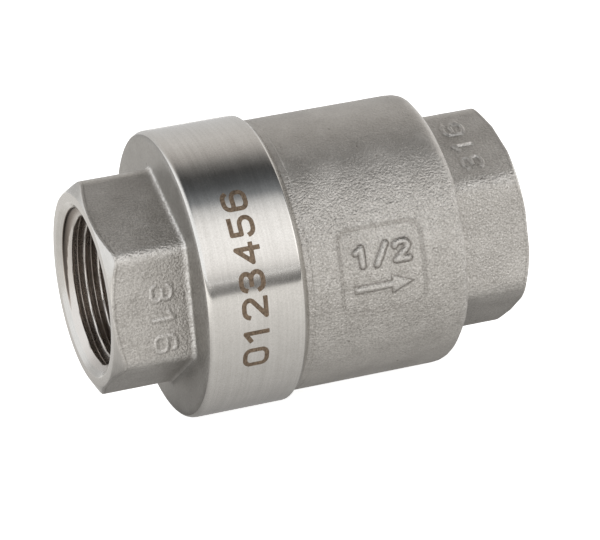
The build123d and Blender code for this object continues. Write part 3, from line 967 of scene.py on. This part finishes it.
def make_floor_card():
    """What the metal sees of the table: shade close under the valve and the dark far edge in front."""
    n = Nodes("floor_card_glow")
    split = n.add("ShaderNodeSeparateXYZ", Vector=n.place)
    x, y = split.outputs["X"], split.outputs["Y"]
    past_inlet = n.math("MULTIPLY", x, -1.0)
    past_outlet = n.math("SUBTRACT", x, total_length * MM)
    past = n.math("MAXIMUM", n.math("MAXIMUM", past_inlet, past_outlet), 0.0)
    away = n.math("SQRT", n.math("ADD", n.math("MULTIPLY", past, past), n.math("MULTIPLY", y, y)))
    ramp = n.tree.nodes.new("ShaderNodeValToRGB")
    n.feed(ramp.inputs[0], n.math("MULTIPLY", away, 10.0))
    # Millimetres from the middle of the valve; brightness
    stops = [
        (0, 0.28),
        (6, 0.32),
        (9, 0.42),
        (12, 0.51),
        (16, 0.60),
        (24, 0.71),
        (36, 0.83),
        (60, 0.94),
        (100, 1.0),
    ]
    warm_white = (0.51, 0.5, 0.485)
    fill_ramp(ramp, [(away_mm / 100.0, [c * level for c in warm_white]) for away_mm, level in stops])
    # The dark edge is a strip across the front; towards the inlet end the table is brighter
    ahead = n.math("MULTIPLY", y, -1.0)
    strip = n.math("MINIMUM", n.ramp(ahead, 0.106, 0.120), n.ramp(ahead, 0.16, 0.60, 1.0, 0.5))
    lobe = n.math("MULTIPLY", n.ramp(past_inlet, 0.005, 0.045), n.ramp(ahead, 0.0, 0.03))
    level = n.math("ADD", 2.0, n.math("MULTIPLY", lobe, 0.7))
    level = n.math("MULTIPLY", level, n.math("SUBTRACT", 1.0, n.math("MULTIPLY", strip, 0.8)))
    n.feed(n.shader.inputs["Base Color"], (0, 0, 0, 1))
    n.shader.inputs["Specular IOR Level"].default_value = 0.0
    n.feed(n.shader.inputs["Emission Color"], ramp.outputs[0])
    n.feed(n.shader.inputs["Emission Strength"], level)
    card = flat_sheet("floor_card", 1.5, (-collar_radius + 0.01) * MM, n.material)
    card.visible_camera = False
    card.visible_shadow = False
    card.visible_diffuse = False


def make_floor():
    """Seamless pale floor under the valve, lit almost evenly."""
    paper = bpy.data.materials.new("floor_paper")
    paper.use_nodes = True
    shader = paper.node_tree.nodes["Principled BSDF"]
    shader.inputs["Base Color"].default_value = (0.88, 0.88, 0.88, 1)
    shader.inputs["Roughness"].default_value = 0.9
    shader.inputs["Specular IOR Level"].default_value = 0.0
    shader.inputs["Emission Color"].default_value = (1, 1, 1, 1)
    shader.inputs["Emission Strength"].default_value = 0.85
    floor = flat_sheet("floor", 30.0, min(cad_box[0].z, -collar_radius * MM), paper)
    floor.visible_diffuse = False


# ------------------------------------------------------------------ assembly
turned = turned_steel(
    "turned_steel", light=(0.66, 0.645, 0.62), dark=(0.55, 0.53, 0.50), rough_low=0.20, rough_high=0.34
)
inner = turned_steel(
    "turned_bore", light=(0.52, 0.50, 0.47), dark=(0.42, 0.40, 0.37), rough_low=0.28, rough_high=0.42
)
wire = drawn_wire("spring_wire")
ptfe = fluoropolymer("seal_ptfe")
satin = cast_steel("satin_casting", grain_mm=0.15, peel_mm=0.07, rough=0.38, speck=0.9)
# Tone 0.66 makes the flange face darker than the hexagon's casting: partly its own duller finish, partly
# painted shade from the hexagon beside it.
flange_face = cast_steel("flange_face", grain_mm=0.08, peel_mm=0.05, rough=0.45, speck=0.9, tone=0.66)
cast = cast_steel("blasted_casting")
machined_face = turned_steel(
    "machined_face", light=(0.63, 0.615, 0.59), dark=(0.52, 0.505, 0.48), rough_low=0.15, rough_high=0.27
)
end_face = turned_steel(
    "end_face", light=(0.50, 0.485, 0.465), dark=(0.42, 0.405, 0.385), rough_low=0.20, rough_high=0.32
)
cut_thread = thread_steel("cut_thread")

make_end_cap({
    "machined": machined_face,
    "chamfer": machined_face,
    "band": polished_band("polished_collar"),
    "flange": flange_face,
    "hexagon": satin,
    "face": machined_face,
    "end_face": end_face,
    "thread": cut_thread,
    "inside": inner,
})
make_body({
    "machined": machined_face,
    "strip": cast,
    "barrel": cast,
    "hexagon": cast,
    "face": machined_face,
    "end_face": end_face,
    "thread": cut_thread,
    "inside": inner,
})
make_etched_mark(etched_oxide("etched_oxide"))
make_spring(wire)

slot_materials = {"turned_stainless": turned, "spring_stainless": wire, "ptfe": ptfe}
for part in frame["record"]["subparts"]:
    material = slot_materials.get(part["material_slot"])
    node = frame["nodes"][part["node"]]
    if material is not None:
        node.data.materials.clear()
        node.data.materials.append(material)

make_camera()
make_world()
make_floor()
make_floor_card()
bpy.context.scene.view_settings.view_transform = "Standard"
